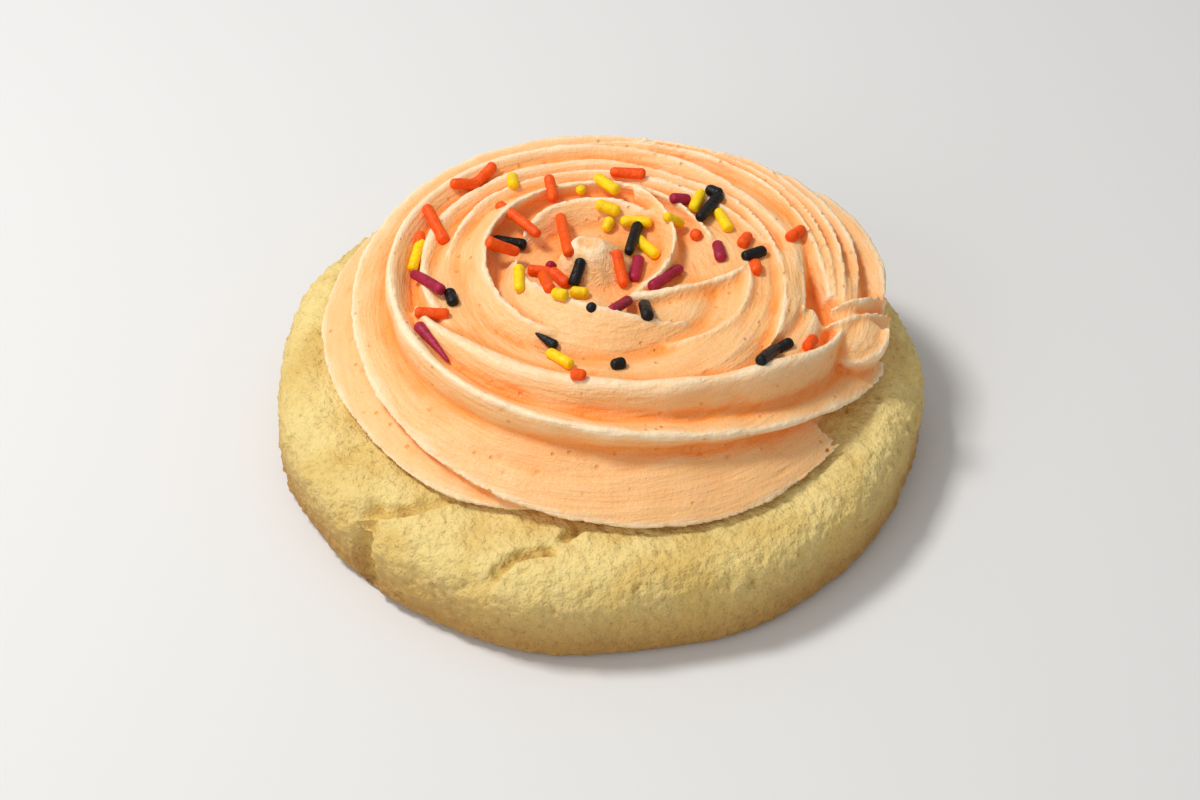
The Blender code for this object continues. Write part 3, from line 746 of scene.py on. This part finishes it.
@dataclass
class SugarCookie:
    """The cookie: a thick disc with rounded shoulders, cracks and a crumbly face."""

    finish: CrumbFinish = field(default_factory=CrumbFinish)
    shoulder: float = 5.6
    foot_round: float = 2.2
    turns: int = 620
    notch_azimuth: float = 226.0
    notch_half: float = 1.5
    notch_depth: float = 2.4
    cad_turns: int = 112
    middle: tuple[float, float] = (0.0, 0.0)

    def raw_outline(self, angle: float) -> float:
        """The radius at an angle: round, with a slow unevenness."""
        return (COOKIE_RADIUS + 0.55 * math.cos(2 * angle + 0.5)
                + 0.4 * math.cos(3 * angle - 1.1) + 0.28 * math.cos(7 * angle + 0.4)
                + 0.2 * math.cos(11 * angle))

    def rim_middle(self) -> tuple[float, float]:
        """The middle of the uneven rim's box, which is kept on the axis."""
        turns = [2 * math.pi * i / self.cad_turns for i in range(self.cad_turns)]
        xs = [self.raw_outline(a) * math.cos(a) for a in turns]
        ys = [self.raw_outline(a) * math.sin(a) for a in turns]
        return (max(xs) + min(xs)) / 2, (max(ys) + min(ys)) / 2

    def top_height(self, x: float, y: float) -> float:
        """The height of the top before the cracks."""
        r = math.hypot(x, y) / COOKIE_RADIUS
        waves = 0.25 * math.sin(x / 7.0 + 1.0) * math.sin(y / 8.0) * min(1.0, r * 1.5)
        return COOKIE_THICK + COOKIE_DOME * (1 - r * r) + waves

    def profile(self) -> list[tuple[float, float]]:
        """Places (radius, height) from the foot to the top, close together where they show."""
        step = 0.42
        points = [(24.0, 0.0), (36.0, 0.0)]
        points += [(r, 0.0) for r in np.arange(42.0, COOKIE_RADIUS - self.foot_round, 1.0)]
        count = max(3, int(self.foot_round * math.pi / 2 / step))
        for i in range(count + 1):
            a = math.pi / 2 * i / count
            points.append((COOKIE_RADIUS - self.foot_round * (1 - math.sin(a)),
                           self.foot_round * (1 - math.cos(a))))
        for z in np.arange(self.foot_round + step, COOKIE_THICK - self.shoulder, step):
            points.append((COOKIE_RADIUS, float(z)))
        count = int(self.shoulder * math.pi / 2 / step)
        for i in range(count + 1):
            a = math.pi / 2 * i / count
            points.append((COOKIE_RADIUS - self.shoulder * (1 - math.cos(a)),
                           COOKIE_THICK - self.shoulder * (1 - math.sin(a))))
        points += [(float(r), COOKIE_THICK)
                   for r in np.arange(COOKIE_RADIUS - self.shoulder - step, 31.0, -step)]
        points += [(r, COOKIE_THICK) for r in (27.0, 20.0, 10.0)]
        return points

    def crack_drop(self, x: float, y: float) -> float:
        """How far the top drops into the nearest crack, in mm."""
        deepest = 0.0
        for crack in CRACKS:
            (ax, ay), (bx, by) = crack.start, crack.end
            dx, dy = bx - ax, by - ay
            t = min(max(((x - ax) * dx + (y - ay) * dy) / (dx * dx + dy * dy), 0.0), 1.0)
            ragged = 0.8 * noise.noise(Vector((x / 2.2, y / 2.2, ax)))
            bend = 0.7 * math.sin(6.0 * t + ax) + ragged
            away = math.hypot(x - ax - t * dx, y - ay - t * dy - bend)
            fade = 0.4 + 0.6 * (1 - t)
            deepest = max(deepest, crack.depth * fade * math.exp(-((away / crack.half) ** 2)))
        return deepest

    def place(self, angle: float, radius: float, height: float) -> tuple[float, float, float]:
        """A point of the smooth cookie, cracks and notch included, in mm."""
        share = radius / COOKIE_RADIUS
        mx, my = self.middle
        keep = min(max((share - 0.6) / 0.4, 0.0), 1.0)
        r = radius + (self.raw_outline(angle) - COOKIE_RADIUS) * keep
        x, y = r * math.cos(angle) - mx * keep, r * math.sin(angle) - my * keep
        lift = min(height / COOKIE_THICK, 1.0) ** 2
        z = height + (self.top_height(x, y) - COOKIE_THICK) * lift
        off = (math.degrees(angle) - self.notch_azimuth + 180.0) % 360.0 - 180.0
        off += 3.0 * noise.noise(Vector((0.0, 0.0, z / 3.0)))
        arc = math.radians(off) * COOKIE_RADIUS / self.notch_half
        split = math.exp(-arc * arc) * max(0.0, (share - 0.84) / 0.16) if height > 0.4 else 0.0
        pull = 1.0 - self.notch_depth * split / COOKIE_RADIUS
        if height > COOKIE_THICK * 0.75:
            z -= self.crack_drop(x, y) * (height / COOKIE_THICK - 0.75) / 0.25 + split
        return x * pull, y * pull, z

    def crumble(self, item: bpy.types.Object) -> None:
        """Grains, dents and pits over the face, none on the flat foot."""
        places, out = points_of(item), normals_of(item)
        foot = np.clip(places[:, 2] / 1.2, 0.0, 1.0)
        reach = np.hypot(places[:, 0], places[:, 1]) / COOKIE_RADIUS
        wall = np.clip((reach - 0.93) / 0.06, 0.0, 1.0)
        lumps = cells(places, 1.5, 4.2)
        coarse = cells(places, 3.4, 9.1)
        slow = grain(places, 6.5, 5.5)
        fine = grain(places, 0.8, 2.2)
        pits = np.clip(1.0 - cells(places, 4.4, 7.7) / 0.16, 0.0, 1.0)
        push = ((0.30 + 0.20 * wall) * (0.45 - lumps) * 1.5 + 0.35 * (0.45 - coarse)
                + 0.22 * slow + 0.20 * fine - 0.70 * pits - 0.35)
        set_points(item, places + out * (push * foot)[:, None])

    def build(self) -> bpy.types.Object:
        """The cookie as one skin, crumbled and dressed."""
        self.middle = self.rim_middle()
        turns = self.turns
        rows = self.profile()
        grid = bmesh.new()
        rings = []
        for radius, height in rows:
            rings.append([grid.verts.new(Vector(self.place(2 * math.pi * i / turns, radius, height))
                                         * MM) for i in range(turns)])
        for low, high in zip(rings, rings[1:]):
            for i in range(turns):
                j = (i + 1) % turns
                grid.faces.new((low[i], low[j], high[j], high[i]))
        grid.faces.new(rings[0][::-1])
        grid.faces.new(rings[-1])
        item = object_of("cookie_disc", grid)
        self.crumble(item)
        keep_value(item, "hollow", hollowness(item, 14))
        item.data.materials.append(self.finish.build())
        make_active(item)
        bpy.ops.object.shade_smooth()
        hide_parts("cookie")
        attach(item, "root")
        return item


LAYOUT: dict[Tint, tuple[tuple[float, float, float, float], ...]] = {
    Tint.ORANGE: (
        (-23.2, 27.3, -19.0, 26.9), (-19.6, 27.5, -16.9, 32.5), (-8.2, 29.2, -7.3, 23.2),
        (1.4, 30.3, 6.7, 29.8), (-26.7, 21.5, -23.5, 13.2), (-15.9, 22.3, -9.6, 15.0),
        (-6.1, 19.7, -4.7, 10.7), (-27.4, 15.6, -27.6, 12.5), (-26.5, -2.8, -21.7, -3.0),
        (-17.2, 13.2, -12.3, 8.8), (-10.7, 6.5, -7.3, 6.1), (-7.3, 6.5, -4.8, 3.2),
        (-8.4, 3.6, -7.4, 2.2), (2.0, 11.1, 3.1, 3.0), (13.9, 14.0, 14.6, 15.6),
        (22.0, 14.8, 20.8, 12.3), (22.5, 8.4, 22.6, 6.0), (28.1, 14.0, 30.6, 16.5),
        (28.5, -10.2, 29.8, -8.1), (-4.2, -16.0, -2.2, -16.2)),
    Tint.YELLOW: (
        (-13.9, 29.3, -13.7, 26.9), (-3.3, 27.2, -3.2, 26.2), (-0.8, 29.8, 2.5, 26.1),
        (-27.3, 13.6, -28.2, 6.9), (-12.0, 7.2, -11.8, 1.9), (-6.9, 1.5, -4.8, 0.7),
        (-4.4, 1.5, -1.9, 1.1), (-0.7, 22.8, 2.7, 20.7), (1.4, 19.0, 0.6, 16.1),
        (3.1, 18.6, 7.7, 18.2), (5.3, 14.0, 8.3, 9.8), (9.8, 19.4, 12.3, 17.3),
        (15.2, 25.3, 13.7, 20.7), (17.7, 20.7, 19.2, 16.1), (-7.5, -11.4, -4.2, -14.3)),
    Tint.BLACK: (
        (-22.1, 1.9, -21.3, -1.0), (-16.3, 14.0, -11.3, 12.8), (-2.8, 9.4, -4.0, 2.8),
        (-2.0, -0.9, -1.0, -1.0), (6.2, -0.6, 6.7, -3.5), (5.4, 17.6, 3.8, 10.7),
        (16.3, 26.1, 18.5, 24.8), (18.1, 24.4, 14.8, 18.6), (21.0, 9.6, 24.3, 11.1),
        (22.3, -13.5, 24.6, -11.3), (24.8, -11.0, 27.0, -9.2), (-9.2, -7.0, -6.3, -9.8),
        (1.4, -14.2, 3.3, -13.7)),
    Tint.MAROON: (
        (-27.8, 5.7, -23.3, 1.9), (-26.1, -5.3, -21.3, -13.1), (-7.3, 8.0, -7.2, 7.0),
        (1.5, -1.6, 4.1, -0.4), (5.5, 9.3, 4.8, 4.4), (11.4, 7.2, 7.0, 2.8),
        (10.6, 23.8, 13.3, 23.5), (17.3, 12.9, 17.8, 9.0)),
}

# Rods by colour and place in the layout: some lie half sunk, some narrow to a point.
SUNK = {(Tint.BLACK, 3), (Tint.MAROON, 3)}
POINTED = {(Tint.BLACK, 11): 0.8, (Tint.MAROON, 1): -0.7}

FINISHES = {
    Tint.ORANGE: SprinkleFinish(Tint.ORANGE, linear(250, 92, 0), linear(236, 72, 0)),
    Tint.YELLOW: SprinkleFinish(Tint.YELLOW, linear(255, 216, 0), linear(244, 194, 0)),
    Tint.BLACK: SprinkleFinish(Tint.BLACK, linear(14, 11, 13), linear(9, 7, 8)),
    Tint.MAROON: SprinkleFinish(Tint.MAROON, linear(170, 28, 64), linear(140, 14, 46)),
}


@dataclass
class Sprinkles:
    """The rods of one colour, each dropped on the frosting where it lies."""

    tint: Tint
    swirl: BVHTree
    eye: Vector
    segments: int = 20
    rings: int = 9

    def meet(self, x: float, y: float) -> tuple[Vector, Vector]:
        """Where the line from the eye through a layout place meets the frosting.

        Args:
            x: across, in mm on the layout plane.
            y: back, in mm on the layout plane.

        Returns:
            The point and the surface's normal there.
        """
        target = Vector((x, y, LAYOUT_HEIGHT)) * MM
        hit, normal, _, _ = self.swirl.ray_cast(self.eye, (target - self.eye).normalized())
        if hit is None:
            return target, Vector((0, 0, 1))
        return hit, normal

    def buried(self, start: Vector, end: Vector) -> float:
        """How far the frosting covers the line between two points, seen from the eye."""
        deepest = 0.0
        for i in range(1, 8):
            place = start.lerp(end, i / 8)
            hit, _, _, reach = self.swirl.ray_cast(self.eye, (place - self.eye).normalized())
            if hit is not None:
                deepest = max(deepest, (place - self.eye).length - reach)
        return min(deepest, 1.8 * MM)

    def rod(self, grid: bmesh.types.BMesh, start: Vector, end: Vector, dice: random.Random,
            point: float) -> None:
        """Add one rod with rounded, slightly lumpy ends between two points.

        Args:
            grid: takes the rod's faces.
            start: one end.
            end: the other end.
            dice: draws the small differences between rods.
            point: how far the start, or below 0 the end, narrows to a point.
        """
        line = end - start
        length = max(line.length, 0.3 * MM)
        way = line.normalized()
        side = way.cross(Vector((0, 0, 1)))
        side = side.normalized() if side.length > 1e-3 else Vector((1, 0, 0))
        other = way.cross(side)
        radius = SPRINKLE_RADIUS * MM * dice.uniform(0.92, 1.06)
        taper = dice.uniform(-0.10, 0.10)
        bow = dice.uniform(-0.03, 0.03) * length
        squash = dice.uniform(0.9, 1.0)
        shift = Vector((dice.uniform(0, 50), dice.uniform(0, 50), dice.uniform(0, 50)))
        stations: list[tuple[float, float]] = []
        for i in range(1, 7):
            a = math.pi / 2 * i / 6
            stations.append((radius * (1 - math.cos(a)) * 0.8, math.sin(a) ** 0.8))
        for i in range(1, self.rings):
            stations.append((0.8 * radius + (length - 1.6 * radius) * i / self.rings, 1.0))
        for i in range(6, 0, -1):
            a = math.pi / 2 * i / 6
            stations.append((length - radius * (1 - math.cos(a)) * 0.8, math.sin(a) ** 0.8))
        if length < 1.7 * radius:
            stations = [(length / 2 + radius * math.cos(math.pi * (1 - i / 13)) * 0.9,
                         math.sin(math.pi * i / 13)) for i in range(1, 13)]
        rings = []
        for place, share in stations:
            t = place / length
            middle = start + way * place + other * (bow * (1 - (2 * t - 1) ** 2))
            narrow = 1 - abs(point) * max(0.0, (1 - t) if point > 0 else t) ** 1.4
            ring = []
            for k in range(self.segments):
                a = 2 * math.pi * k / self.segments
                lump = 1.0 + 0.07 * noise.noise(shift + Vector((math.cos(a), math.sin(a), t * 5)))
                r = radius * share * lump * (1 + taper * (2 * t - 1)) * narrow
                ring.append(grid.verts.new(middle + side * (math.cos(a) * r)
                                           + other * (math.sin(a) * r * squash)))
            rings.append(ring)
        for near, far in zip(rings, rings[1:]):
            for i in range(self.segments):
                j = (i + 1) % self.segments
                grid.faces.new((near[i], near[j], far[j], far[i]))
        grid.faces.new(rings[0][::-1])
        grid.faces.new(rings[-1])

    def build(self) -> bpy.types.Object:
        """All the rods of this colour as one piece."""
        dice = random.Random(f"sprinkles {self.tint.value}")
        grid = bmesh.new()
        lift = SPRINKLE_RADIUS * 0.62 * MM
        for number, (x1, y1, x2, y2) in enumerate(LAYOUT[self.tint]):
            start, up_a = self.meet(x1, y1)
            end, up_b = self.meet(x2, y2)
            if abs(start.z - end.z) > 2.6 * MM:
                low = max(start.z, end.z) - 2.6 * MM
                start.z, end.z = max(start.z, low), max(end.z, low)
            up = (up_a + up_b).normalized()
            start, end = start + up * lift, end + up * lift
            hidden = (self.tint, number) in SUNK
            nearer = (self.eye - start).normalized() * (0.0 if hidden else self.buried(start, end))
            start, end = start + nearer, end + nearer
            if hidden:
                start.z, end.z = start.z - SPRINKLE_RADIUS * MM, end.z - SPRINKLE_RADIUS * MM
            way = (end - start).normalized()
            trim = SPRINKLE_RADIUS * 0.15 * MM
            self.rod(grid, start - way * trim, end + way * trim, dice,
                     POINTED.get((self.tint, number), 0.0))
        bmesh.ops.recalc_face_normals(grid, faces=grid.faces)
        item = object_of(f"sprinkles_{self.tint.value}", grid)
        item.data.materials.append(FINISHES[self.tint].build())
        make_active(item)
        bpy.ops.object.shade_smooth()
        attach(item, "root")
        return item


@dataclass
class Studio:
    """A pale floor, soft white lamps and the camera."""

    lens: float = 65.2
    world_level: float = 0.42
    key_watts: float = 2.05
    fill_watts: float = 0.8

    def floor(self) -> None:
        """A wide pale floor that keeps the shadow."""
        deselect()
        bpy.ops.mesh.primitive_plane_add(size=6.0, location=(0.0, 0.0, -0.0002))
        item = bpy.context.object
        item.name = "floor"
        material = bpy.data.materials.new("floor")
        material.use_nodes = True
        shader = material.node_tree.nodes["Principled BSDF"]
        shader.inputs["Base Color"].default_value = linear(226, 225, 223)
        shader.inputs["Roughness"].default_value = 0.85
        item.data.materials.append(material)

    def lamp(self, name: str, place: tuple[float, float, float], size: float, watts: float) -> None:
        """A soft square lamp aimed at the cookie."""
        light = bpy.data.lights.new(name, "AREA")
        light.shape, light.size, light.energy = "SQUARE", size, watts
        item = bpy.data.objects.new(name, light)
        item.location = place
        aim = Vector((0.0, 0.0, 0.015)) - Vector(place)
        item.rotation_euler = aim.to_track_quat("-Z", "Y").to_euler()
        bpy.context.scene.collection.objects.link(item)

    def camera(self) -> Vector:
        """The camera; returns where the eye is."""
        tilt = math.radians(EYE_ELEVATION)
        eye = Vector((0.0, -EYE_DISTANCE * math.cos(tilt),
                      EYE_TARGET_HEIGHT + EYE_DISTANCE * math.sin(tilt))) * MM
        data = bpy.data.cameras.new("camera")
        data.lens, data.sensor_width = self.lens, 36.0
        item = bpy.data.objects.new("camera", data)
        item.location = eye
        item.rotation_euler = Euler((math.radians(90.0 - EYE_ELEVATION - 0.32), 0.0,
                                     math.radians(0.05)))
        bpy.context.scene.collection.objects.link(item)
        bpy.context.scene.camera = item
        return eye

    def build(self) -> Vector:
        """Floor, lamps, world and camera; returns where the eye is."""
        self.floor()
        self.lamp("key", (-0.27, 0.06, 0.50), 0.12, self.key_watts)
        self.lamp("fill", (-0.36, -0.42, 0.34), 0.4, self.fill_watts)
        world = bpy.data.worlds.new("studio")
        bpy.context.scene.world = world
        world.use_nodes = True
        back = world.node_tree.nodes["Background"]
        back.inputs[0].default_value = (1.0, 1.0, 1.0, 1.0)
        back.inputs[1].default_value = self.world_level
        bpy.context.scene.view_settings.view_transform = "Standard"
        return self.camera()


def tree_of(item: bpy.types.Object) -> BVHTree:
    """The object's mesh, ready for ray casts."""
    return BVHTree.FromObject(item, bpy.context.evaluated_depsgraph_get())


def main() -> None:
    """Build every piece in order, then the studio."""
    logging.basicConfig(level=logging.INFO)
    eye = Studio().build()
    cookie = SugarCookie().build()
    LOG.info("%s: %d faces", cookie.name, len(cookie.data.polygons))
    swirl = PipedSwirl().build()
    LOG.info("%s: %d faces", swirl.name, len(swirl.data.polygons))
    surface = tree_of(swirl)
    for tint in Tint:
        piece = Sprinkles(tint, surface, eye).build()
        LOG.info("%s: %d faces", piece.name, len(piece.data.polygons))


if __name__ == "__main__":
    main()
